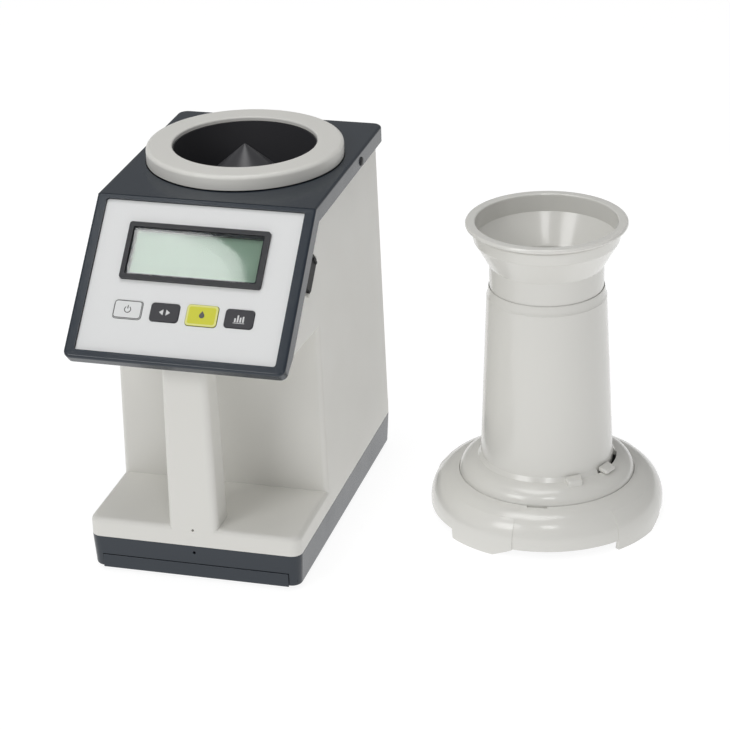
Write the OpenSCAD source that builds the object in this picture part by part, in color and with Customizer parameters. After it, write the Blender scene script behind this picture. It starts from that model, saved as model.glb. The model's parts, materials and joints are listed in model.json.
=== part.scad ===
// Grain moisture meter with its sample loader.
// The meter weighs a measured volume of grain in a round cell and reads its moisture.
// The loader stands beside it on the table: it fills the cell evenly through a shutter.
// Lengths are millimetres. +Z is up, the meter faces -Y, and the loader stands on its +X side.
// The origin is the centre of the floor area that the whole set covers.

/* [Case] */
// Width of the top cover, the widest moulding of the meter
cover_w = 124.6; // [122:0.1:128]
// Width of the case where it meets the base
case_w = 122.6; // [120:0.1:124]
// Depth of the base
base_d = 192.4; // [185:0.1:205]
// Height of the underside of the base above the table
base_z = 2.6; // [2:0.1:4]
// Height of the joint between the base and the case
base_top = 21.9; // [20:0.1:24]
// Height of the top of the foot block
foot_top = 33.2; // [31:0.1:36]
// Distance from the front of the foot block back to the wall of the column
column_y = 57.5; // [54:0.5:62]
// Height of the underside of the head at the column
head_z = 133.7; // [128:0.1:138]
// Lean of each side wall, in degrees
draft = 0.88; // [0.5:0.01:1]
// Wall thickness of the mouldings
wall = 2.5; // [2:0.1:3]
// Plan radius of the corners of the base and the case
corner_r = 6; // [4:0.5:8]

/* [Cover and panel] */
// Height of the flat top of the cover
cover_top = 207; // [205:0.5:210]
// Height of the skirt of the cover
skirt_h = 9.3; // [8:0.1:12]
// Distance from the front of the foot block back to the top edge of the sloping panel
slope_y = 52; // [50:0.5:54]
// Length of the sloping panel, down the slope
slope_len = 96.2; // [94:0.1:98]
// Rear edge of the cover
cover_rear = 190.4; // [190.2:0.1:191]
// Width of the pale front sheet
sheet_w = 112.8; // [110:0.1:114]
// Length of the pale front sheet
sheet_len = 88.6; // [86:0.1:90]
// Distance of the sheet below the top edge of the panel
sheet_s = 2.6; // [2:0.1:3]
// Depth of the recess that holds the sheet
sheet_recess = 2.2; // [1.8:0.1:2.4]
// Outer width of the display bezel
bezel_w = 80; // [76:0.5:84]
// Outer height of the display bezel
bezel_h = 33.2; // [30:0.1:35]
// Width of a key cap
key_w = 16; // [14:0.1:18]
// Height of a key cap
key_h = 10.5; // [9:0.1:12]
// Spacing of the keys
key_pitch = 21; // [19:0.1:23]
// Travel of a key
key_travel = 0.4; // [0.2:0.05:0.45]

/* [Weighing cell] */
// Distance from the front of the foot block back to the axis of the cell
cell_y = 122.2; // [120:0.1:124]
// Outer radius of the ring
ring_r = 55.9; // [54:0.1:56.5]
// Inner radius of the ring
ring_bore_r = 40.9; // [40.6:0.1:42]
// Height of the top of the ring
ring_top = 216; // [215:0.1:218]
// Depth of the ring
ring_h = 8.4; // [7:0.1:8.6]
// Radius of the centre electrode
electrode_r = 24; // [20:0.5:28]
// Half angle of the cone on the centre electrode, in degrees
cone_angle = 49; // [45:1:55]
// Height of the floor inside the cell
cell_floor_z = 147.7; // [146:0.1:150]
// Radius of the opening in the cover around the ring
cover_hole_r = 56.3; // [56:0.1:59]

/* [Loader] */
// Distance from the centre plane of the meter to the axis of the loader
loader_x = 171.7; // [150:0.1:200]
// Distance of the loader axis behind the front of the foot block
loader_y = 130; // [100:0.5:150]
// Largest radius of the flared skirt
flare_r = 67.5; // [66:0.1:70]
// Radius of the seam between the skirt and the loader body
seam_r = 50.6; // [50:0.1:52]
// Height of the seam
seam_z = 25.7; // [25:0.1:27]
// Height of the lower edge of the skirt, between its feet
skirt_z = 5.6; // [5:0.1:8]
// Radius of the tube at its foot
tube_foot_r = 38; // [37.5:0.1:39]
// Radius of the tube below its rim
tube_top_r = 33.9; // [33.8:0.1:34.5]
// Height of the rim of the tube
tube_top = 140.2; // [139:0.1:142]
// Inner radius of the measuring cup
cup_r = 29; // [28.5:0.1:29.2]
// Outer radius of the funnel rim
funnel_r = 45.4; // [44.5:0.1:47]
// Height of the funnel rim
funnel_top = 178.9; // [177:0.1:182]
// Turn of the lever ring from closed to open, in degrees
lever_turn = 18; // [8:1:18]

/* [Hidden] */
$fn = 96;

ivory = [0.80, 0.80, 0.77];
slate = [0.22, 0.26, 0.31];
black = [0.08, 0.08, 0.09];
steel = [0.72, 0.73, 0.75];
board_green = [0.10, 0.35, 0.22];

gap = 0.3;                       // clearance between pieces that move past each other
half = case_w / 2;
knob_out = 1.2;                  // how far the cover screws stand out of the skirt
x_low = -cover_w / 2 - knob_out;
x_high = loader_x + flare_r;
edge_r = 1.5;                    // rounding of the upper edges of the cover
nose_y = slope_y - (slope_len - 2 * edge_r) * sin(45) - edge_r;
y_high = max(base_d, loader_y + flare_r);
set_x = (x_low + x_high) / 2;
set_y = (nose_y + y_high) / 2;

sheet_t = 0.5;
panel_wall_n = -4.4;             // inner face of the panel wall, measured along the panel normal
key_s = 65.9;                    // centre of the keys, down the slope
key_r = 1.9;
bezel_s = 15.3;
bezel_edge = 2.7;
board_n = -8;                    // front face of the display board
boss_x = 48;
boss_s = [12, 78];

bay_w = 109;                     // battery opening in the base
bay_d = 46;
bay_front_h = 10.8;
door_t = 2.3;
aa_r = 7.1;
aa_len = 50;
aa_y = [14.5, 32.5];
aa_z = 13.6;

leg_x = 50;
leg_y = [86, 166];
deck_z = 110;
rear_lip = cover_rear - wall - gap;
pin_r = 0.5;                     // stub pins of the flap's hinge
screw_x = 54.4;
screw_y = [66, 182];
foot_x = 46;
foot_y = [58, 178];
lead_x = 30;

knob_y = 141.4;
knob_z = 201.3;
port_s = [21.3, 41];             // extent of the port flap, down the slope
port_n = [-20.3, -10.6];         // extent of the port flap, along the panel normal
flap_x = lean(175) + 0.45;       // inner face of the port flap
flap_t = 2.6;
hinge_n = port_n[0] - 0.2;       // axis of the flap's hinge, along the panel normal
hinge_x = flap_x + 1;
lug_w = 1.6;
jack_s = [27.2, 34.7];
jack_r = [2.85, 1.8];
jack_depth = [9.5, 12];
jack_face = 54.9;                // front face of the socket block
jack_n = (port_n[0] + port_n[1]) / 2;

pivot_r = 51.5;                  // distance of the blade pivots from the loader axis
pivot_az = 60;
stud_r = 34.5;
slot_half = 2.4;                 // half width of the slot that takes the drive stud
blade_z = 14.4;
blade_t = 2;
plate_z = 11;
plate_t = 2.4;
lever_z = 17;
lever_t = 2.2;
tab_az = -22;                    // the moving tab, and the fixed rest beside it
rest_az = -56;
tab_slot = [tab_az - 9, tab_az + 2 * lever_turn];  // ends of the slot that the moving tab runs in
slot_r = [38, 40.2];             // the slot follows the foot of the tube
latch_az = -84;
foot_az = -23;
foot_half = 18;
foot_slope = 13;                 // length of the sloping end of a foot
foot_out = 0.5;                  // how far the feet stand out of the skirt
spring_r = 43.8;                 // distance of the return spring from the loader axis
screw_az = 25;                   // plate screws, either side of each blade pivot
screw_r = 57;

// ---------- placing ----------
module meter() translate([-set_x, -set_y, 0]) children();
module panel() meter() translate([0, slope_y, cover_top]) rotate([45, 0, 0]) children();
module loader() translate([loader_x - set_x, loader_y - set_y, 0]) children();
module both_sides() { children(); mirror([1, 0, 0]) children(); }
module turned(a) rotate([0, 0, a]) children();

// ---------- shapes ----------
function lean(z) = half - (z - base_top) * tan(draft);
function arc(c, r, a0, a1, n = 6) =
    [for (i = [0:n]) let (a = a0 + (a1 - a0) * i / n) c + r * [cos(a), sin(a)]];
function oval(c, rx, ry, a0, a1, n = 10) =
    [for (i = [0:n]) let (a = a0 + (a1 - a0) * i / n) c + [rx * cos(a), ry * sin(a)]];

module box(x, y, z) translate([x[0], y[0], z[0]]) cube([x[1] - x[0], y[1] - y[0], z[1] - z[0]]);

// Upright peg with a rounded top and foot: four of them make the corners of a moulded block
module peg(r, h, top = 0, foot = 0)
    rotate_extrude($fn = 32)
        polygon(concat([[0, 0]],
                       foot > 0 ? arc([r - foot, foot], foot, -90, 0, 4) : [[r, 0]],
                       top > 0 ? arc([r - top, h - top], top, 0, 90, 4) : [[r, h]],
                       [[0, h]]));

module pegged(w, y, z, r, top = 0, foot = 0)
    hull() both_sides() for (yy = [y[0] + r, y[1] - r])
        translate([w - r, yy, z[0]]) peg(r, z[1] - z[0], top, foot);

// Block whose half width and rear both lean in towards the top
module leaning(z, y_low, y_high, inset, r) {
    hull() both_sides() for (i = [0, 1]) {
        y = i == 0 ? y_low : y_high;
        for (j = [0, 1])
            translate([lean(z[i]) - inset - r[j], y[j] + (j == 0 ? r[j] : -r[j]), z[i] - i])
                cylinder(r = r[j], h = 1, $fn = 32);
    }
}

// Flat rectangle with round corners, exact
module plate_shape(w, h, r)
    union() {
        square([w - 2 * r, h], center = true);
        square([w, h - 2 * r], center = true);
        for (sx = [-1, 1], sy = [-1, 1])
            translate([sx * (w / 2 - r), sy * (h / 2 - r)]) circle(r, $fn = 32);
    }

module slab(w, s, n, r)
    translate([0, -(s[0] + s[1]) / 2, n[0]]) linear_extrude(n[1] - n[0]) plate_shape(w, s[1] - s[0], r);

module screw(r, length, head_r, head_h) {
    cylinder(r = r, h = length, $fn = 32);
    translate([0, 0, -head_h]) difference() {
        cylinder(r = head_r, h = head_h, $fn = 32);
        for (a = [0, 90]) turned(a) translate([-head_r * 0.6, -0.3, -1]) cube([head_r * 1.2, 0.6, 1.6]);
    }
}

// Round tube swept along a list of points
function unit(v) = v / norm(v);
function way(p, i) = unit(p[min(i + 1, len(p) - 1)] - p[max(i - 1, 0)]);
module swept(path, r, sides = 8) {
    function side(i) = unit(cross(way(path, i), abs(way(path, i)[2]) > 0.9 ? [1, 0, 0] : [0, 0, 1]));
    n = len(path);
    points = [for (i = [0:n - 1]) let (u = side(i), v = cross(way(path, i), u))
              for (k = [0:sides - 1]) let (a = 360 * k / sides) path[i] + r * (u * cos(a) + v * sin(a))];
    walls = [for (i = [0:n - 2]) for (k = [0:sides - 1]) let (m = (k + 1) % sides)
             [i * sides + k, i * sides + m, (i + 1) * sides + m, (i + 1) * sides + k]];
    polyhedron(points, concat(walls, [[for (k = [sides - 1:-1:0]) k]],
                              [[for (k = [0:sides - 1]) (n - 1) * sides + k]]));
}

// ---------- base and batteries ----------
module base_pan() color(slate) meter() difference() {
    hull() both_sides() for (y = [corner_r, base_d - corner_r]) {
        translate([half - corner_r, y, base_top - 1]) cylinder(r = corner_r, h = 1, $fn = 32);
        translate([half - corner_r - 0.9, y + (y < 50 ? 0.9 : -0.9), base_z]) peg(corner_r, 2, 0, 1.2);
    }
    box([-half + wall, half - wall], [wall, base_d - wall], [base_z + wall, base_top + 1]);
    box([-bay_w / 2, bay_w / 2], [-1, bay_d], [0, base_z + wall + 0.1]);
    box([-bay_w / 2, bay_w / 2], [-1, wall + 0.1], [0, bay_front_h]);
    translate([0, -1, 17.7]) rotate([-90, 0, 0]) cylinder(r = 0.9, h = wall + 2, $fn = 24);
    both_sides() for (y = screw_y) translate([screw_x, y, 0]) {
        cylinder(r = 1.6, h = 10, $fn = 32);
        cylinder(r = 3.4, h = base_z + 1.6, $fn = 32);
    }
}

module rubber_feet() color(black) meter() both_sides() for (y = foot_y)
    translate([foot_x, y, 0]) cylinder(r = 7, h = base_z);

module base_screws() color(steel) meter() both_sides() for (y = screw_y)
    translate([screw_x, y, base_z + 1.6]) screw(1.4, 12, 2.7, 1.4);

module battery_door() color(slate) meter() {
    w = bay_w / 2 - gap;
    difference() {
        box([-w, w], [0.2, bay_d - gap], [base_z, base_z + door_t]);
        // finger grooves underneath
        for (y = [10, 13, 16]) box([-12, 12], [y, y + 1.4], [base_z - 1, base_z + 0.8]);
    }
    box([-w, w], [0, 2], [base_z, bay_front_h - gap]);
}

module battery_box() color(black) meter() difference() {
    z = base_z + wall;
    union() {
        box([-53, 53], [3, 45], [z, 23.4]);
        box([-57.5, 57.5], [2.7, 52], [z, z + 1.5]);
    }
    box([-51.5, 51.5], [4.5, 43], [z - 1, 21.8]);
}

module battery_cells() color([0.75, 0.62, 0.25]) meter() both_sides() for (y = aa_y)
    translate([0.4, y, aa_z]) rotate([0, 90, 0]) {
        cylinder(r = aa_r, h = aa_len - 1);
        cylinder(r = 2.6, h = aa_len, $fn = 32);
    }

module battery_contacts() color(steel) meter() both_sides() {
    for (y = aa_y) box([50.6, 51.1], [y - 6, y + 6], [aa_z - 5, aa_z + 5]);
    box([51.1, 51.5], [aa_y[0] - 5, aa_y[1] + 5], [aa_z + 2, aa_z + 5]);
}

// ---------- case ----------
// Inside of the head: the room behind the sloping panel
module head_room(inset, low)
    hull() both_sides() {
        r = 2.5;
        w = lean(head_z) - inset - r;
        for (p = [[-8.6 + inset, 138.9 + low], [slope_y + 10, head_z + low]])
            translate([w, p[0], p[1] + r]) sphere(r, $fn = 16);
        for (p = [[nose_y + 6 + inset, 146], [slope_y, 203], [slope_y + 10, 203]])
            translate([w - 1.2, p[0], p[1]]) cube([r + 0.6, 0.1, 0.1]);
    }

module body_shell() color(ivory) meter() difference() {
    union() {
        difference() {
            union() {
                pegged(half, [0, base_d], [base_top, foot_top], corner_r, 3);
                leaning([foot_top - 4, 203], [column_y, base_d - 0.1], [column_y, base_d - 2.9], 0,
                        [3, corner_r]);
                head_room(0, 0);
                hull() both_sides() {
                    for (y = [4, 16.5]) translate([10.5, y, foot_top - 4]) cylinder(r = 4, h = 1, $fn = 32);
                    for (y = [4.2, 14.5]) translate([8.8, y, 139]) cylinder(r = 4, h = 1, $fn = 32);
                }
            }
            box([-half + wall, half - wall], [wall, base_d - wall], [base_top - 1, foot_top - wall]);
            leaning([base_top, 210],
                    [column_y + wall, base_d - wall], [column_y + wall, base_d - 2.9 - wall],
                    wall, [1, corner_r - wall]);
            head_room(wall, wall);
            hull() for (p = [[foot_top - 4, 12, 18], [132, 10.3, 16]])
                box([-p[1], p[1]], [wall, p[2]], [p[0], p[0] + 1]);
        }
        both_sides() for (y = screw_y) translate([screw_x, y, 0]) {
            translate([0, 0, base_z + wall + 0.2]) cylinder(r = 4.2, h = 20, $fn = 48);
            translate([0, 0, base_top + gap]) cylinder(r = 4.8, h = 9, $fn = 48);
        }
        both_sides() translate([53.5, knob_y, knob_z]) rotate([0, 90, 0]) cylinder(r = 3, h = 4.4);
        // lip inside the rear skirt of the cover
        box([-50, 50], [185, rear_lip], [188, 203]);
        translate([0, slope_y, cover_top]) rotate([45, 0, 0]) {
            // seats of the socket block
            for (s = [20, 39.6]) box([jack_face, 57], [-s - 2.8, -s], [jack_n - 3, jack_n + 3]);
            // lugs of the flap's hinge
            for (s = [port_s[0] - gap - lug_w, port_s[1] + gap]) {
                translate([hinge_x, -s, hinge_n]) rotate([90, 0, 0]) cylinder(r = 1.3, h = lug_w, $fn = 32);
                box([58, hinge_x], [-s - lug_w, -s], [hinge_n - 1.3, hinge_n + 1.3]);
            }
        }
    }
    box([-100, 100], [rear_lip, 200], [cover_top - skirt_h - gap, 220]);
    translate([0, slope_y, cover_top]) rotate([45, 0, 0])
        translate([-100, -slope_len - 40, panel_wall_n - 0.2]) cube([200, 300, 80]);
    translate([-100, slope_y - 20, cover_top - wall - 0.3]) cube([200, 200, 20]);
    both_sides() for (y = screw_y) translate([screw_x, y, 0]) cylinder(r = 1.45, h = 22, $fn = 32);
    translate([-80, knob_y, knob_z]) rotate([0, 90, 0]) cylinder(r = 1.55, h = 160, $fn = 32);
    translate([0, -1, 31.7]) rotate([-90, 0, 0]) cylinder(r = 0.8, h = 6, $fn = 24);
    translate([0, slope_y, cover_top]) rotate([45, 0, 0]) {
        box([50, 70], [-39.2, -23.2], [jack_n - 4, jack_n + 4]);
        translate([hinge_x, -50, hinge_n]) rotate([-90, 0, 0]) cylinder(r = pin_r + 0.06, h = 40, $fn = 32);
    }
}

module chassis() color(black) meter() difference() {
    union() {
        box([-leg_x - 4, leg_x + 4], [leg_y[0] - 6, leg_y[1] + 6], [deck_z, deck_z + 3]);
        both_sides() for (y = leg_y) box([leg_x - 4, leg_x + 4], [y - 4, y + 4], [base_z + wall, deck_z]);
        box([-9, 9], [cell_y - 40, cell_y - 22], [deck_z + 3, deck_z + 8]);
        both_sides() for (y = [94, 158]) translate([38, y, 99.6]) cylinder(r = 3, h = deck_z - 99.6);
    }
    for (y = [cell_y - 36, cell_y - 27]) translate([0, y, deck_z - 1]) cylinder(r = 2.1, h = 10, $fn = 32);
    both_sides() for (y = [94, 158]) translate([38, y, 98]) cylinder(r = 1.2, h = 10, $fn = 32);
    translate([-25, cell_y - 12, deck_z - 1]) cube([50, 40, 5]);
}

module load_cell() color(steel) meter() difference() {
    box([-6.35, 6.35], [cell_y - 40, cell_y + 40], [deck_z + 8, deck_z + 20.7]);
    for (y = [-7, 7]) translate([-10, cell_y + y, deck_z + 14.35])
        rotate([0, 90, 0]) cylinder(r = 4.6, h = 20);
    box([-10, 10], [cell_y - 7, cell_y + 7], [deck_z + 12.3, deck_z + 16.4]);
    for (y = [cell_y - 36, cell_y - 27]) translate([0, y, deck_z + 7]) cylinder(r = 2.1, h = 9, $fn = 32);
}

module load_cell_screws() color(steel) meter() for (y = [cell_y - 36, cell_y - 27])
    translate([0, y, deck_z]) screw(2, 15, 3.5, 2);

module main_board() color(board_green) meter() {
    difference() {
        box([-44, 44], [82, 166], [98, 99.6]);
        both_sides() for (y = [94, 158]) translate([38, y, 97]) cylinder(r = 1.3, h = 4, $fn = 32);
    }
    color(black) box([-9, 9], [110, 128], [95.6, 98]);
    color(black) box([14, 28], [104, 112], [96, 98]);
    color(steel) box([-28, -18], [120, 134], [93.5, 98]);
    color(black) for (i = [0:2]) translate([20 + 8 * (i - 1), 142, 90]) cylinder(r = 3, h = 8, $fn = 32);
    color([0.9, 0.9, 0.85]) box([-8, 8], [83, 87.5], [99.6, 104]);
    color([0.9, 0.9, 0.85]) box([lead_x - 4, lead_x + 4], [84, 88], [94, 98]);
}

module main_board_screws() color(steel) meter() both_sides() for (y = [94, 158])
    translate([38, y, 98]) screw(1.1, 9, 2.5, 1.6);

// Battery lead, from the battery box up to the main board
module power_lead() color([0.6, 0.1, 0.1]) meter()
    swept([[lead_x, 45.2, 16], [lead_x, 50, 16], [lead_x, 58, 18], [lead_x, 66, 26], [lead_x, 71, 40],
           [lead_x, 73, 56], [lead_x, 75, 72], [lead_x, 79, 85], [lead_x, 84, 89], [lead_x, 86, 91.5],
           [lead_x, 86, 93.8]], 1.1);

// Flat cable, from the main board up to the display board
function ribbon_side(p, t) = [for (i = [0:len(p) - 1])
    let (d = unit(p[min(i + 1, len(p) - 1)] - p[max(i - 1, 0)])) p[i] + t * [-d[1], d[0]]];
module ribbon_cable() color([0.55, 0.57, 0.6]) meter() {
    route = [[84, 104.6], [78, 106.5], [71, 112], [66, 122], [62, 136], [57, 150], [48, 160], [39.4, 164.4],
             [33, 165], [27.4, 168.3]];
    line = concat(ribbon_side(route, 0.4), [for (i = [len(route) - 1:-1:0]) ribbon_side(route, -0.4)[i]]);
    translate([-6, 0, 0]) rotate([90, 0, 90]) linear_extrude(12) polygon(line);
}

// ---------- weighing cell ----------
module cell_ring() color(ivory) meter() translate([0, cell_y, ring_top]) rotate_extrude()
    polygon(concat([[ring_bore_r, -2.4]], arc([ring_bore_r + 1, -1], 1, 180, 90),
                   arc([ring_r - 2.4, -2.4], 2.4, 90, 0),
                   [[ring_r, -ring_h], [ring_r - 2.3, -ring_h], [ring_r - 2.3, -2.6], [45.6, -2.6],
                    [45.6, -10], [43.3, -10], [43.3, -2.4]]));

module cell_wall() color(slate) meter() translate([0, cell_y, 0]) rotate_extrude()
    polygon([[40.4, cell_floor_z + 0.3], [47, cell_floor_z + 0.3], [47, cell_floor_z + 2.8],
             [42.9, cell_floor_z + 2.8], [42.9, ring_top - 2.7], [40.4, ring_top - 2.7]]);

module cell_floor() color(black) meter() translate([0, cell_y, 0]) difference() {
    translate([0, 0, cell_floor_z - 6]) cylinder(r = 47, h = 6);
    for (a = [45:90:315]) turned(a) translate([12, 0, cell_floor_z - 7]) cylinder(r = 1.6, h = 8, $fn = 32);
}

module centre_electrode() color(slate) meter() translate([0, cell_y, 0]) {
    tip = 1.6;
    cone_h = electrode_r / tan(cone_angle);
    shoulder = ring_top - 1 - cone_h;
    tip_z = shoulder + cone_h - tip / sin(cone_angle);
    rotate_extrude() polygon(concat(
        [[0, cell_floor_z + 3], [0, cell_floor_z], [electrode_r, cell_floor_z], [electrode_r, shoulder]],
        arc([0, tip_z], tip, 90 - cone_angle, 90, 4),
        [[0, shoulder + cone_h - 5], [electrode_r - 3, shoulder - 2],
         [electrode_r - 3, cell_floor_z + 3]]));
}

module cell_carrier() color(steel) meter() translate([0, cell_y, 0]) {
    z = cell_floor_z - 6;
    difference() {
        union() {
            translate([0, 0, z - 4]) cylinder(r = 30, h = 4);
            box([-6.35, 6.35], [22, 40], [deck_z + 21.5, z - 3]);
        }
        for (a = [45:90:315]) turned(a) translate([12, 0, z - 5]) cylinder(r = 1.6, h = 8, $fn = 32);
    }
}

// ---------- cover and panel ----------
module top_cover() color(slate) union() {
    panel() both_sides() for (s = boss_s) panel_post(s);
    cover_moulding();
}

// Posts behind the panel carry the display board
module panel_post(s) translate([boss_x, -s, board_n]) difference() {
    cylinder(r = 3, h = panel_wall_n - board_n + 0.5, $fn = 32);
    translate([0, 0, -1]) cylinder(r = 1.2, h = 5, $fn = 32);
}

module cover_moulding() meter() difference() {
    w = cover_w / 2;
    union() {
        hull() both_sides() {
            translate([w - corner_r, cover_rear - corner_r, cover_top - skirt_h])
                peg(corner_r, skirt_h, edge_r);
            translate([w - edge_r, slope_y + 1.2, cover_top - edge_r]) rotate([90, 0, 0])
                cylinder(r = edge_r, h = 1, $fn = 24);
            translate([w - 1, slope_y + 5.3, cover_top - skirt_h]) cube([1, 1, 1]);
        }
        hull() both_sides() translate([0, slope_y, cover_top]) rotate([45, 0, 0]) {
            translate([w - 4, 4 - slope_len, -7]) peg(4, 7, edge_r);
            translate([w - edge_r, -0.4, -edge_r]) rotate([90, 0, 0]) cylinder(r = edge_r, h = 1, $fn = 24);
            translate([w - 1, -82, -10]) cube([1, 1, 1]);
            translate([w - 1, 0.5, -10]) cube([1, 3.6, 1]);
        }
    }
    // hollow inside, one outline of the side view
    inner = panel_wall_n * sqrt(0.5);
    low = (slope_len - wall) * sqrt(0.5);
    translate([-w + wall, 0, 0]) rotate([90, 0, 90]) linear_extrude(2 * (w - wall))
        polygon([[cover_rear - wall, 150], [cover_rear - wall, cover_top - wall],
                 [slope_y - 2 * inner - wall, cover_top - wall],
                 [slope_y - low - inner, cover_top - low + inner],
                 [slope_y - low + 20, cover_top - low - 20], [slope_y + 30, 150]]);
    translate([0, cell_y, cover_top - 10]) cylinder(r = cover_hole_r, h = 20, $fn = 128);
    translate([-80, knob_y, knob_z]) rotate([0, 90, 0]) cylinder(r = 1.7, h = 160, $fn = 32);
    translate([0, slope_y, cover_top]) rotate([45, 0, 0]) {
        slab(sheet_w + 0.4, [sheet_s - 0.2, sheet_s + sheet_len + 0.2], [-sheet_recess, 5], 1.5);
        slab(bezel_w - 8, [bezel_s + 4, bezel_s + bezel_h - 4], [-10, 5], 1);
        for (i = [0:3]) translate([(i - 1.5) * key_pitch, -key_s, -10])
            linear_extrude(12) plate_shape(8.8, 5.8, 1);
    }
}

module cover_screws() color(black) meter() both_sides() translate([cover_w / 2, knob_y, knob_z])
    rotate([0, 90, 0]) {
        rotate_extrude($fn = 48)
            polygon(concat([[0, 0], [2.6, 0]], oval([0, 0.3], 2.6, knob_out - 0.3, 0, 90, 6)));
        translate([0, 0, -8]) cylinder(r = 1.5, h = 8, $fn = 32);
    }

module front_sheet() color([0.87, 0.87, 0.86]) panel() difference() {
    slab(sheet_w, [sheet_s, sheet_s + sheet_len], [-sheet_recess, -sheet_recess + sheet_t], 1);
    slab(bezel_w + 0.2, [bezel_s - 0.1, bezel_s + bezel_h + 0.1], [-5, 5], 1.6);
    for (i = [0:3]) translate([(i - 1.5) * key_pitch, -key_s, -5]) linear_extrude(10)
        plate_shape(key_w + 2 * gap + key_grow(i), key_h + 2 * gap + key_grow(i), key_r + gap);
}

module lcd_bezel() color(black) panel() difference() {
    slab(bezel_w, [bezel_s, bezel_s + bezel_h], [-sheet_recess, 0.2], 1.5);
    slab(bezel_w - 2 * bezel_edge, [bezel_s + bezel_edge, bezel_s + bezel_h - bezel_edge], [-5, 5], 0.8);
}

module lcd_window() color([0.75, 0.8, 0.78]) panel()
    slab(bezel_w - 2 * bezel_edge - 0.2, [bezel_s + bezel_edge + 0.1, bezel_s + bezel_h - bezel_edge - 0.1],
         [-sheet_recess, -1.2], 0.7);

module lcd_module() color([0.60, 0.68, 0.62]) panel() union() {
    slab(bezel_w - 2, [bezel_s + 1, bezel_s + bezel_h - 1], [-6.6, panel_wall_n - 0.1], 0.8);
    slab(bezel_w + 2, [bezel_s - 1, bezel_s + bezel_h + 1], [board_n, -6.6], 0.8);
}

module display_board() color(board_green) panel() difference() {
    slab(2 * boss_x + 8, [8, 82], [board_n - 1.6, board_n], 2);
    both_sides() for (s = boss_s) translate([boss_x, -s, -12]) cylinder(r = 1.3, h = 6, $fn = 32);
}

module board_screws() color(steel) panel() both_sides() for (s = boss_s)
    translate([boss_x, -s, board_n - 1.6]) screw(1.1, 4.6, 2.4, 1.4);

module key_switches() color(black) panel() for (i = [0:3])
    translate([(i - 1.5) * key_pitch, -key_s, board_n]) {
        translate([-3, -3, 0]) cube([6, 6, 1]);
        cylinder(r = 1.6, h = 1.5, $fn = 32);
    }

// The measuring key has a border and is a little larger than the others
function key_grow(i) = i == 2 ? 1.5 : 0;
module key(i, tint) color(tint) panel() translate([(i - 1.5) * key_pitch, -key_s, 0]) {
    translate([0, 0, -1.7]) linear_extrude(0.5)
        plate_shape(key_w + key_grow(i), key_h + key_grow(i), key_r);
    translate([0, 0, -6]) linear_extrude(4.3) plate_shape(8, 5, 0.8);
}
module key_on_off() key(0, [0.88, 0.88, 0.87]);
module key_select() key(1, [0.22, 0.22, 0.24]);
module key_measure() key(2, [0.82, 0.82, 0.25]);
module key_average() key(3, [0.22, 0.22, 0.24]);

module socket_block() color(black) panel() difference() {
    union() {
        box([42, jack_face], [-38.6, -23.8], [jack_n - 3.5, jack_n + 3.5]);
        box([jack_face - 1.5, jack_face], [-42.4, -20], [jack_n - 3.5, jack_n + 3.5]);
    }
    for (i = [0, 1]) translate([jack_face - jack_depth[i], -jack_s[i], jack_n])
        rotate([0, 90, 0]) cylinder(r = jack_r[i], h = 20, $fn = 48);
}

module port_flap() color(black) panel() {
    translate([flap_x, 0, 0]) rotate([0, 90, 0]) linear_extrude(flap_t)
        translate([-jack_n, -(port_s[0] + port_s[1]) / 2])
            plate_shape(port_n[1] - port_n[0], port_s[1] - port_s[0], 2);
    // finger lip
    box([flap_x + flap_t - 0.1, flap_x + flap_t + 0.9], [-port_s[0] - 3.2, -port_s[0] - 1.8],
        [jack_n - 3, jack_n + 3]);
    // barrel of the hinge and its stub pins
    translate([hinge_x, -port_s[1], hinge_n]) rotate([-90, 0, 0]) {
        cylinder(r = 1, h = port_s[1] - port_s[0], $fn = 32);
        translate([0, 0, -gap - 1.3])
            cylinder(r = pin_r, h = port_s[1] - port_s[0] + 2 * (gap + 1.3), $fn = 32);
    }
}

// ---------- loader ----------
function flare(inset, drop = 0, n = 12) =
    oval([seam_r, 8], flare_r - seam_r - inset, seam_z - 8 - drop, 0, 90, n);

module sector(a, half_a, r)
    polygon([[0, 0], r * [cos(a - half_a), sin(a - half_a)], 1.1 * r * [cos(a), sin(a)],
             r * [cos(a + half_a), sin(a + half_a)]]);

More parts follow.
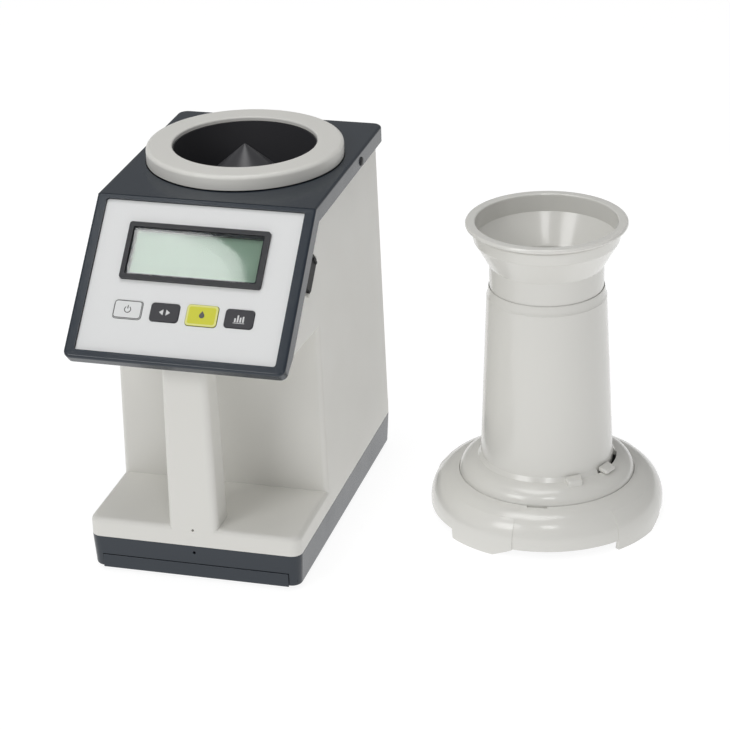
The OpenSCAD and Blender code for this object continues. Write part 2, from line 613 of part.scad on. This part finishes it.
module loader_skirt() color(ivory) loader() difference() {
    union() {
        rotate_extrude($fn = 128) polygon(concat(
            [[flare_r - foot_out, skirt_z]], flare(foot_out), [[seam_r + 0.9, seam_z - 0.1],
             [seam_r + 0.3, seam_z - 0.6], [seam_r + 0.3, seam_z - 2.6],
             [46, seam_z - 2.6], [46, seam_z - 4.6], [seam_r, seam_z - 4.6]],
            [for (i = [11:-1:0]) flare(2.4 + foot_out, 2.4)[i]], [[flare_r - 2.4 - foot_out, skirt_z]]));
        for (i = [0:3]) turned(foot_az + 90 * i) difference() {
            intersection() {
                rotate_extrude($fn = 128) polygon(concat(
                    [[flare_r - 2.6 - foot_out, 0], [flare_r - 0.3, 0], [flare_r, skirt_z]],
                    [for (i = [0:7]) flare(0)[i]],
                    [for (i = [9:-1:0]) flare(1.2 + foot_out, 1.2)[i]]));
                linear_extrude(30) sector(0, foot_half, 80);
            }
            // one end of each foot slopes up to the skirt
            turned(foot_half) translate([50, 1, skirt_z]) rotate([atan(skirt_z / foot_slope), 0, 0])
                translate([0, -40, -20]) cube([30, 41, 20]);
        }
        for (p = [0, 180], a = [-screw_az, screw_az]) turned(pivot_az + p + a)
            translate([screw_r, 0, plate_z + plate_t + 0.1]) cylinder(r = 3.4, h = 7.6, $fn = 48);
        // peg that holds the fixed end of the return spring
        turned(tab_az) translate([spring_r, -18.8, 17.8]) cylinder(r = 1, h = 3.6, $fn = 24);
        turned(tab_az) translate([spring_r, -19.8, seam_z - 4.6]) cube([3, 2, 1.8]);
    }
    turned(latch_az) box([seam_r - 1, seam_r + 1.5], [-5.7, 5.7], [seam_z - 2, seam_z + 2]);
    for (p = [0, 180], a = [-screw_az, screw_az]) turned(pivot_az + p + a)
        translate([screw_r, 0, plate_z]) cylinder(r = 1.3, h = 8.5, $fn = 32);
}

function tube_r(z) = tube_foot_r - (z - 36) * (tube_foot_r - tube_top_r) / (134.4 - 36);
module loader_body() color(ivory) loader() {
    dome = [36, seam_z - 0.3];
    difference() {
        union() {
            rotate_extrude($fn = 128) polygon(concat(
                oval(dome, seam_r - 0.2 - dome[0], 9.8, 0, 75),
                [[tube_r(37.4), 37.4], [tube_r(134.4), 134.4], [tube_top_r - 0.4, 135.2],
                 [tube_top_r - 1.1, tube_top - 0.4], [32.6, tube_top], [32.5, tube_top],
                 [32.5, 129.8], [tube_r(129.8) - 2.2, 129.8], [tube_r(38) - 2.2, 38]],
                oval(dome, seam_r - 2.6 - dome[0], 7.2, 90, 0), [[46.6, seam_z - 0.3], [46.6, seam_z - 2.4],
                [seam_r - 0.2, seam_z - 2.4]]));
            turned(rest_az) tab(30.5, 30.5);
        }
        // slot for the moving tab
        intersection() {
            translate([0, 0, 20]) difference() {
                cylinder(r = slot_r[1], h = 30);
                translate([0, 0, -1]) cylinder(r = slot_r[0], h = 32);
            }
            translate([0, 0, 20]) linear_extrude(30)
                sector((tab_slot[0] + tab_slot[1]) / 2, (tab_slot[1] - tab_slot[0]) / 2, 60);
        }
        turned(rest_az) box([20, tube_r(36) - 1], [-7, 7], [20, 40]);
    }
}

// Finger tab that stands just outside the foot of the tube; its underside is lower at the tip
module tab(z_root, z_tip) translate([slot_r[0] + 0.4, 0, 0]) hull() {
    for (y = [-4, 4]) translate([0.6, y, z_root]) cylinder(r = 0.6, h = 37.6 - z_root, $fn = 24);
    for (y = [-3.2, 3.2]) translate([4.6, y, z_tip]) {
        cylinder(r = 1.2, h = 35.8 - z_tip, $fn = 24);
        translate([-0.5, 0, 0]) cylinder(r = 0.8, h = 36.9 - z_tip, $fn = 24);
    }
}

module loader_cup() color(ivory) loader() rotate_extrude($fn = 128)
    polygon([[cup_r, lever_z - 0.2], [cup_r + 2.2, lever_z - 0.2], [cup_r + 2.2, 129.6], [cup_r, 129.6]]);

module loader_plate() color(slate) loader() difference() {
    translate([0, 0, plate_z]) cylinder(r = 61, h = plate_t, $fn = 128);
    translate([0, 0, plate_z - 1]) cylinder(r = cup_r + 0.3, h = 6);
    for (p = [0, 180]) turned(pivot_az + p) translate([pivot_r, 0, plate_z - 1])
        cylinder(r = 2, h = 6, $fn = 48);
    for (p = [0, 180], a = [-screw_az, screw_az]) turned(pivot_az + p + a)
        translate([screw_r, 0, plate_z - 1]) cylinder(r = 1.5, h = 6, $fn = 32);
}

module loader_screws() color(steel) loader() for (p = [0, 180], a = [-screw_az, screw_az])
    turned(pivot_az + p + a) translate([screw_r, 0, plate_z]) screw(1.2, 8, 2.5, 1.5);

module blade_pins() color(steel) loader() for (p = [0, 180]) turned(pivot_az + p)
    translate([pivot_r, 0, 0]) {
        translate([0, 0, plate_z]) cylinder(r = 2, h = lever_z + 0.6 - plate_z, $fn = 48);
        translate([0, 0, lever_z + 0.6]) cylinder(r = 3.2, h = 0.8, $fn = 48);
    }

// Half moon that closes one half of the opening, with its arm and the slot for the drive stud
module blade() translate([0, 0, blade_z]) linear_extrude(blade_t) difference() {
    union() {
        intersection() {
            circle(30.4, $fn = 128);
            translate([-40, 0.15]) square([80, 40]);
        }
        translate([31.6, -5]) square([pivot_r - 31.6, 10]);
        translate([27, 0.2]) square([9, 9]);
        translate([pivot_r, 0]) circle(5.2, $fn = 64);
    }
    translate([pivot_r, 0]) circle(2.08, $fn = 64);
    translate([28, -slot_half]) square([stud_r - 28, 2 * slot_half]);
    translate([stud_r, 0]) circle(slot_half, $fn = 48);
}
module blade_left() color(steel) loader() turned(pivot_az) blade();
module blade_right() color(steel) loader() turned(pivot_az + 180) blade();

module lever_ring() color(ivory) loader() {
    difference() {
        union() {
            translate([0, 0, lever_z]) cylinder(r = 38, h = lever_t, $fn = 128);
            turned(tab_az) box([36, spring_r + 1], [-3, 3], [lever_z, lever_z + lever_t]);
        }
        translate([0, 0, lever_z - 1]) cylinder(r = cup_r + 2.3, h = 6, $fn = 128);
    }
    for (p = [0, 180]) turned(pivot_az + p) translate([stud_r, 0, plate_z + plate_t + 0.7])
        cylinder(r = 1.5, h = lever_z - plate_z - plate_t, $fn = 48);
    turned(tab_az) {
        box([slot_r[0] + 0.4, slot_r[1] - 0.4], [-2.8, 2.8], [lever_z + lever_t - 0.5, 36]);
        tab(35.6, 34.9);
    }
}

// Return spring between the lever ring and the plate
module lever_spring() color(steel) loader() turned(tab_az) {
    turns = 9;
    swept([for (i = [0:turns * 8]) [spring_r + 1.5 * cos(45 * i), -3.7 - 13.6 * i / (turns * 8),
                                    19 + 1.5 * sin(45 * i)]], 0.35, 6);
}

module funnel() color(ivory) loader() rotate_extrude($fn = 128) {
    r = 32.2;
    polygon(concat(
        [[cup_r, 130.3], [r, 130.3], [r, 153.4], [r + 0.5, 154.2], [40.2, funnel_top - 11.4],
         [40.7, funnel_top - 10.9], [42.2, funnel_top - 4.2],
         [41.8, funnel_top - 3.6], [42.4, funnel_top - 3]],
        arc([funnel_r - 1.3, funnel_top - 1.3], 1.3, -60, 90, 6),
        arc([ring_bore_r - 0.2, funnel_top - 1], 1, 90, 180, 4),
        [[39.5, funnel_top - 10.5], [cup_r + 0.4, 151.6], [cup_r, 150.6]]));
}

base_pan();
rubber_feet();
base_screws();
battery_door();
battery_box();
battery_cells();
battery_contacts();
body_shell();
chassis();
load_cell();
load_cell_screws();
main_board();
main_board_screws();
power_lead();
ribbon_cable();
cell_ring();
cell_wall();
cell_floor();
centre_electrode();
cell_carrier();
top_cover();
cover_screws();
front_sheet();
lcd_bezel();
lcd_window();
lcd_module();
display_board();
board_screws();
key_switches();
key_on_off();
key_select();
key_measure();
key_average();
socket_block();
port_flap();
loader_skirt();
loader_body();
loader_cup();
loader_plate();
loader_screws();
blade_pins();
blade_left();
blade_right();
lever_ring();
lever_spring();
funnel();
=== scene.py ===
# Looks of the grain moisture meter and its sample loader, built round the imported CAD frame.
# Lengths are metres.
import json
import math

import bmesh
import bpy
from mathutils import Matrix, Vector


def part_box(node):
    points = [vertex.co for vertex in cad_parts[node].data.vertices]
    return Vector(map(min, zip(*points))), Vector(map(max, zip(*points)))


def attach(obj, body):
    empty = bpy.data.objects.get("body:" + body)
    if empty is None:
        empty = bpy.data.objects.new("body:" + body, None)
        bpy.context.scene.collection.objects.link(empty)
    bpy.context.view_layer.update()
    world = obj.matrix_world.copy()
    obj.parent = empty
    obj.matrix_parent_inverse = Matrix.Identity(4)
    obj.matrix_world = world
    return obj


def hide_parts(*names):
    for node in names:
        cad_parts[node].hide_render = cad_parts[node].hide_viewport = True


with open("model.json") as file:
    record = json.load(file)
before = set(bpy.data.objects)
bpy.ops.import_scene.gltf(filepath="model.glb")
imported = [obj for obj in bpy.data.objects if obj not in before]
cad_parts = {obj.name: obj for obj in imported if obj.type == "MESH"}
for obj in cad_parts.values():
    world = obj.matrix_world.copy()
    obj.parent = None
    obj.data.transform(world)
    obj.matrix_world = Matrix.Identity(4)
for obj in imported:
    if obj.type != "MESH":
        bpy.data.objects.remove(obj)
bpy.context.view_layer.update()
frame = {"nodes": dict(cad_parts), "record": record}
MM = 0.001
BODY_OF = {n: b for b, members in frame["record"]["behaviour"]["bodies"].items() for n in members}
SLOT_OF = {s["node"]: s["material_slot"] for s in frame["record"]["subparts"]}


def mid(node):
    low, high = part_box(node)
    return (low + high) / 2


# Centre of the base's front edge, on the table
FRONT = Vector((mid("base_pan").x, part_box("base_pan")[0].y, 0))
CELL = Vector((mid("cell_wall").x, mid("cell_wall").y, 0))


# ---------- the sloping panel ----------
SLOPE = math.sqrt(0.5)
SHEET_T = 0.5 * MM
SHEET_LOW, SHEET_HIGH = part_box("front_sheet")
ACROSS = Vector((1, 0, 0))
UP = Vector((0, SLOPE, SLOPE))
OUT = Vector((0, -SLOPE, SLOPE))
SHEET_LENGTH = (SHEET_HIGH.y - SHEET_LOW.y) / SLOPE - SHEET_T
SHEET_TOP = Vector((mid("front_sheet").x, SHEET_LOW.y + SHEET_LENGTH * SLOPE, SHEET_HIGH.z))


def on_panel(x, down, out=0.0):
    """Point on the face of the front sheet: x across, then distances down the slope and out of the face."""
    return SHEET_TOP + ACROSS * x - UP * down + OUT * out


# ---------- camera ----------
CAMERA = FRONT + Vector((0.455, -1.2086, 0.7243))
YAW, PITCH, ROLL = 16.28, -24.81, -1.82


def add_camera():
    data = bpy.data.cameras.new("camera")
    data.lens = 130.4
    data.sensor_width = 36
    data.clip_end = 60
    cam = bpy.data.objects.new("camera", data)
    bpy.context.scene.collection.objects.link(cam)
    turn = (Matrix.Rotation(math.radians(YAW), 4, "Z") @ Matrix.Rotation(math.radians(90 + PITCH), 4, "X")
            @ Matrix.Rotation(math.radians(ROLL), 4, "Z"))
    cam.matrix_world = Matrix.Translation(CAMERA) @ turn
    bpy.context.scene.camera = cam


# ---------- materials ----------
def srgb(r, g, b):
    def line(c):
        c /= 255
        return c / 12.92 if c <= 0.04045 else ((c + 0.055) / 1.055) ** 2.4
    return (line(r), line(g), line(b), 1)


def moulded(name, colour, rough=0.4, spread=0.03, grain=0.0006, bump=0.06, tint=0.03, specular=0.5,
            metallic=0.0, coat=0.0):
    """Moulded or coated surface: slight colour drift, uneven gloss and a fine texture."""
    m = bpy.data.materials.new(name)
    m.use_nodes = True
    nodes, links = m.node_tree.nodes, m.node_tree.links
    shader = nodes["Principled BSDF"]
    shader.inputs["Metallic"].default_value = metallic
    shader.inputs["Specular IOR Level"].default_value = specular
    shader.inputs["Coat Weight"].default_value = coat
    shader.inputs["Coat Roughness"].default_value = 0.12
    where = nodes.new("ShaderNodeTexCoord").outputs["Object"]

    def noise(scale, detail):
        n = nodes.new("ShaderNodeTexNoise")
        n.inputs["Scale"].default_value = scale
        n.inputs["Detail"].default_value = detail
        links.new(where, n.inputs["Vector"])
        return n.outputs["Fac"]

    def mapped(source, low, high):
        r = nodes.new("ShaderNodeMapRange")
        r.inputs["From Min"].default_value = 0.3
        r.inputs["From Max"].default_value = 0.7
        r.inputs["To Min"].default_value = low
        r.inputs["To Max"].default_value = high
        links.new(source, r.inputs["Value"])
        return r.outputs["Result"]

    mix = nodes.new("ShaderNodeMix")
    mix.data_type = "RGBA"
    mix.inputs["A"].default_value = [c * (1 - tint) for c in colour[:3]] + [1]
    mix.inputs["B"].default_value = [min(1, c * (1 + tint)) for c in colour[:3]] + [1]
    links.new(noise(14, 3), mix.inputs["Factor"])
    links.new(mix.outputs["Result"], shader.inputs["Base Color"])
    links.new(mapped(noise(45, 4), rough - spread, rough + spread), shader.inputs["Roughness"])
    b = nodes.new("ShaderNodeBump")
    b.inputs["Strength"].default_value = bump
    b.inputs["Distance"].default_value = 0.0002
    links.new(noise(1 / grain, 2), b.inputs["Height"])
    links.new(b.outputs["Normal"], shader.inputs["Normal"])
    return m


def clear(name, colour, rough):
    """Clear lens"""
    m = moulded(name, colour, rough, 0.01, 0.002, 0.01, 0.01)
    shader = m.node_tree.nodes["Principled BSDF"]
    shader.inputs["Transmission Weight"].default_value = 1
    shader.inputs["IOR"].default_value = 1.49
    return m


def glowing(name, strength):
    """Evenly lit card or floor"""
    m = bpy.data.materials.new(name)
    m.use_nodes = True
    shader = m.node_tree.nodes["Principled BSDF"]
    shader.inputs["Base Color"].default_value = (0.2, 0.2, 0.2, 1)
    shader.inputs["Roughness"].default_value = 0.9
    shader.inputs["Specular IOR Level"].default_value = 0
    shader.inputs["Emission Color"].default_value = (1, 1, 1, 1)
    shader.inputs["Emission Strength"].default_value = strength
    return m


IVORY = srgb(224, 223, 218)
SLATE = srgb(39, 47, 56)
MATERIALS = {
    "case_ivory": moulded("case_ivory", IVORY, 0.42, 0.04, 0.0005, 0.08, 0.012),
    "loader_ivory": moulded("loader_ivory", IVORY, 0.22, 0.02, 0.0006, 0.02, 0.008, coat=0.3),
    "slate": moulded("slate", SLATE, 0.24, 0.03, 0.0004, 0.05, 0.04),
    "black_plastic": moulded("black_plastic", srgb(30, 31, 33), 0.45, 0.05, 0.0005, 0.15, 0.06),
    "rubber": moulded("rubber", srgb(26, 26, 27), 0.62, 0.06, 0.0007, 0.25, 0.08, 0.35),
    "electrode": moulded("electrode", srgb(62, 62, 65), 0.36, 0.03, 0.0008, 0.02, 0.04),
    "steel": moulded("steel", srgb(190, 191, 194), 0.30, 0.08, 0.0004, 0.05, 0.04, metallic=1.0),
    "aluminium": moulded("aluminium", srgb(205, 206, 209), 0.36, 0.08, 0.0004, 0.06, 0.04, metallic=1.0),
    "circuit_board": moulded("circuit_board", srgb(20, 92, 52), 0.35, 0.06, 0.0009, 0.2, 0.12),
    "wire": moulded("wire", srgb(150, 26, 22), 0.5, 0.05, 0.0007, 0.1, 0.06),
    "cable_grey": moulded("cable_grey", srgb(150, 152, 156), 0.5, 0.05, 0.0007, 0.15, 0.08),
    "cell_wrap": moulded("cell_wrap", srgb(176, 140, 58), 0.35, 0.05, 0.001, 0.03, 0.08),
    "sheet_pale": moulded("sheet_pale", srgb(226, 227, 227), 0.38, 0.03, 0.0004, 0.05, 0.01),
    "bezel_black": moulded("bezel_black", srgb(38, 39, 43), 0.38, 0.04, 0.0005, 0.07, 0.05),
    "lcd_glass": moulded("lcd_glass", srgb(172, 200, 180), 0.35, 0.02, 0.001, 0.01, 0.02),
    "lcd_lens": clear("lcd_lens", srgb(236, 242, 238), 0.03),
    "key_white": moulded("key_white", srgb(222, 223, 223), 0.36, 0.03, 0.0004, 0.05, 0.01),
    "key_dark": moulded("key_dark", srgb(46, 46, 51), 0.36, 0.03, 0.0004, 0.05, 0.03),
    "key_yellow": moulded("key_yellow", srgb(207, 206, 50), 0.36, 0.03, 0.0004, 0.05, 0.02),
    "print_dark": moulded("print_dark", srgb(84, 84, 84), 0.45, 0.03, 0.0004, 0.03, 0.02),
    "print_white": moulded("print_white", srgb(214, 214, 214), 0.45, 0.03, 0.0004, 0.03, 0.02),
    "print_lime": moulded("print_lime", srgb(222, 222, 138), 0.45, 0.03, 0.0004, 0.03, 0.02),
}


# ---------- carried-over CAD nodes ----------
EDGE_R = {"body_shell": 0.5, "top_cover": 0.5, "base_pan": 0.4, "battery_door": 0.3, "lcd_bezel": 0.35,
          "front_sheet": 0.08, "key_on_off": 0.2, "key_select": 0.2, "key_measure": 0.2, "key_average": 0.2,
          "port_flap": 0.4}


CREASE = math.radians(22)
BEVEL_FROM = math.radians(32)


def dress(node):
    """Gives a CAD node its material, softened edges and smooth shading, without changing its mesh."""
    obj = frame["nodes"][node]
    obj.data.materials.clear()
    obj.data.materials.append(MATERIALS[SLOT_OF[node]])
    obj.modifiers.new("weld", "WELD").merge_threshold = 2e-6
    obj.data.shade_smooth()
    if node not in EDGE_R:
        split = obj.modifiers.new("crease", "EDGE_SPLIT")
        split.split_angle = CREASE
    else:
        bevel = obj.modifiers.new("edge", "BEVEL")
        bevel.width = EDGE_R[node] * MM
        bevel.segments = 2
        bevel.limit_method = "ANGLE"
        bevel.angle_limit = BEVEL_FROM
    normal = obj.modifiers.new("shading", "WEIGHTED_NORMAL")
    normal.keep_sharp = True
    normal.weight = 80


# ---------- turned pieces ----------
def turned_piece(name, axis, profile, steps=144):
    """Closed piece turned about a vertical axis. The profile runs from axis to axis, as (radius, height)."""
    bm = bmesh.new()
    rings = []
    for r, z in profile:
        count = 1 if r == 0 else steps
        rings.append([bm.verts.new((axis.x + r * math.cos(math.tau * i / steps),
                                    axis.y + r * math.sin(math.tau * i / steps), z)) for i in range(count)])
    for low, high in zip(rings, rings[1:]):
        for i in range(steps):
            j = (i + 1) % steps
            corners = [low[i % len(low)], low[j % len(low)], high[j % len(high)], high[i % len(high)]]
            bm.faces.new(list(dict.fromkeys(corners)))
    bmesh.ops.recalc_face_normals(bm, faces=bm.faces)
    mesh = bpy.data.meshes.new(name)
    bm.to_mesh(mesh)
    bm.free()
    mesh.shade_smooth()
    obj = bpy.data.objects.new(name, mesh)
    bpy.context.scene.collection.objects.link(obj)
    split = obj.modifiers.new("crease", "EDGE_SPLIT")
    split.split_angle = CREASE
    return obj


def add_electrode_cone():
    """The centre electrode, with a rounded tip that shades evenly."""
    low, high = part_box("centre_electrode")
    radius = (high.x - low.x) / 2
    shoulder = max(v.co.z for v in frame["nodes"]["centre_electrode"].data.vertices
                   if math.hypot(v.co.x - CELL.x, v.co.y - CELL.y) > radius - 0.1 * MM)
    tip_r = 1.2 * MM
    slope = math.atan2(high.z - shoulder, radius)
    tip_z = high.z - tip_r
    angles = [slope * i / 5 for i in range(5, 0, -1)]
    tip = [(tip_r * math.sin(a), tip_z + tip_r * math.cos(a)) for a in angles] + [(0, high.z)]
    side = [(0, low.z), (radius, low.z), (radius, shoulder - 2 * MM), (radius, shoulder)]
    cone = turned_piece("electrode_cone", CELL, side + tip)
    cone.data.materials.append(MATERIALS["electrode"])
    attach(cone, "weigh_cell")
    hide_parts("centre_electrode")


# ---------- print on the keys ----------
KEY_PRINT_T = 0.04 * MM


def round_rectangle(w, h, r, steps=6):
    points = []
    for corner, (sx, sy) in enumerate(((1, 1), (-1, 1), (-1, -1), (1, -1))):
        for i in range(steps + 1):
            a = math.radians(90 * (corner + i / steps))
            points.append((sx * (w / 2 - r) + r * math.cos(a), sy * (h / 2 - r) + r * math.sin(a)))
    return points


def arc(r, start, end, steps=24):
    return [(r * math.cos(math.radians(start + (end - start) * i / steps)),
             r * math.sin(math.radians(start + (end - start) * i / steps))) for i in range(steps + 1)]


def rectangle(x, y, w, h):
    return [(x - w / 2, y - h / 2), (x + w / 2, y - h / 2), (x + w / 2, y + h / 2), (x - w / 2, y + h / 2)]


def printed(name, key, material, outlines=(), border=None):
    """Thin print on a key's face: outlines in mm from its centre, a border as two outlines of equal length."""
    obj = frame["nodes"][key]
    face = max(v.co.dot(OUT) for v in obj.data.vertices)
    centre = mid(key)
    centre += OUT * (face - centre.dot(OUT))
    bm = bmesh.new()

    def corner(x, y, level):
        return bm.verts.new(centre + (ACROSS * x + UP * y) * MM + OUT * level)

    for outline in outlines:
        low, high = [[corner(x, y, level) for x, y in outline] for level in (0, KEY_PRINT_T)]
        bm.faces.new(high)
        bm.faces.new(low[::-1])
        for i in range(len(outline)):
            j = (i + 1) % len(outline)
            bm.faces.new((low[i], low[j], high[j], high[i]))
    if border:
        outer, inner = border
        rings = [[corner(x, y, level) for x, y in outline]
                 for outline, level in ((outer, 0), (outer, KEY_PRINT_T), (inner, KEY_PRINT_T), (inner, 0))]
        for a, b in zip(rings, rings[1:] + rings[:1]):
            for i in range(len(outer)):
                j = (i + 1) % len(outer)
                bm.faces.new((a[i], a[j], b[j], b[i]))
    mesh = bpy.data.meshes.new(name)
    bm.to_mesh(mesh)
    bm.free()
    print_obj = bpy.data.objects.new(name, mesh)
    mesh.materials.append(MATERIALS[material])
    bpy.context.scene.collection.objects.link(print_obj)
    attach(print_obj, BODY_OF[key])


def add_key_print():
    printed("power_border", "key_on_off", "print_dark",
            border=(round_rectangle(15.7, 10.2, 1.75), round_rectangle(14.8, 9.3, 1.3)))
    ring = arc(2.0, 125, 415) + arc(1.5, 415, 125)
    printed("power_symbol", "key_on_off", "print_dark", [ring, rectangle(0, 1.5, 0.55, 2.0)])
    printed("select_symbol", "key_select", "print_white",
            [[(-0.8, -1.7), (-0.8, 1.7), (-3.2, 0)], [(0.8, -1.7), (3.2, 0), (0.8, 1.7)]])
    printed("measure_border", "key_measure", "print_lime",
            border=(round_rectangle(17.3, 11.8, 1.8), round_rectangle(15.3, 9.8, 1.2)))
    printed("measure_symbol", "key_measure", "print_dark", [arc(1.5, 155, 385) + [(0, 2.7)]])
    printed("average_symbol", "key_average", "print_white",
            [rectangle(x, h / 2 - 2, 0.9, h) for x, h in ((-2.2, 2.2), (-0.7, 4.0), (0.8, 2.8), (2.3, 3.4))]
            + [rectangle(0, -2.5, 6.4, 0.3)])


# ---------- stage ----------
def add_floor():
    bpy.ops.mesh.primitive_plane_add(size=24, location=(0, 0, -0.0002))
    floor = bpy.context.object
    floor.name = "floor"
    floor.data.materials.append(glowing("floor_glow", 0.9))


DISPLAY_DOWN = 29.3 * MM       # middle of the display, down from the top edge of the front sheet
SOFTBOX_AWAY = 1.1


def add_softbox():
    """Two lit cards, in mm across and up, that the display lens mirrors to the camera with a curved edge."""
    place = on_panel(0, DISPLAY_DOWN)
    sight = (place - CAMERA).normalized()
    mirror = sight - 2 * sight.dot(OUT) * OUT
    side = Vector((0, 0, 1)).cross(mirror).normalized()
    rise = mirror.cross(side)
    centre = place + mirror * SOFTBOX_AWAY
    edge = [(-90, 8), (-10, 21), (4, 26), (19, 27), (30, 27), (39, 23), (48, 16), (55, 8), (64, -10),
            (70, -80)]
    inset = [(-90, -4), (-12, 9), (4, 14), (17, 15), (26, 14), (34, 10), (42, 2), (47, -8), (54, -30),
             (58, -80)]
    cards = {"softbox_band": (edge + inset[::-1], 4.8), "softbox": (inset + [(-90, -80)], 6.3)}
    for name, (outline, strength) in cards.items():
        bm = bmesh.new()
        bm.faces.new([bm.verts.new(centre + (side * u + rise * v) * MM) for u, v in outline])
        mesh = bpy.data.meshes.new(name)
        bm.to_mesh(mesh)
        bm.free()
        mesh.materials.append(glowing(name, strength))
        card = bpy.data.objects.new(name, mesh)
        bpy.context.scene.collection.objects.link(card)


def add_light(name, where, aim, size, power):
    data = bpy.data.lights.new(name, "AREA")
    data.shape = "SQUARE"
    data.size = size
    data.energy = power
    lamp = bpy.data.objects.new(name, data)
    lamp.location = where
    lamp.rotation_euler = (Vector(aim) - Vector(where)).to_track_quat("-Z", "Y").to_euler()
    bpy.context.scene.collection.objects.link(lamp)


def add_lights():
    world = bpy.data.worlds.new("studio")
    bpy.context.scene.world = world
    world.use_nodes = True
    world.node_tree.nodes["Background"].inputs["Color"].default_value = (1, 1, 1, 1)
    world.node_tree.nodes["Background"].inputs["Strength"].default_value = 0.3
    add_light("key", (-1.0, -1.7, 1.5), (0, 0, 0.1), 0.9, 11.5)
    add_light("front", (0.5, -1.5, 1.7), (0.05, 0, 0.15), 0.45, 4)
    add_light("top", (-0.1, -0.1, 1.7), (0, 0, 0.1), 0.8, 7.5)


add_camera()
add_floor()
add_softbox()
add_lights()
for node in frame["nodes"]:
    dress(node)
add_electrode_cone()
add_key_print()

bpy.context.scene.view_settings.view_transform = "Standard"
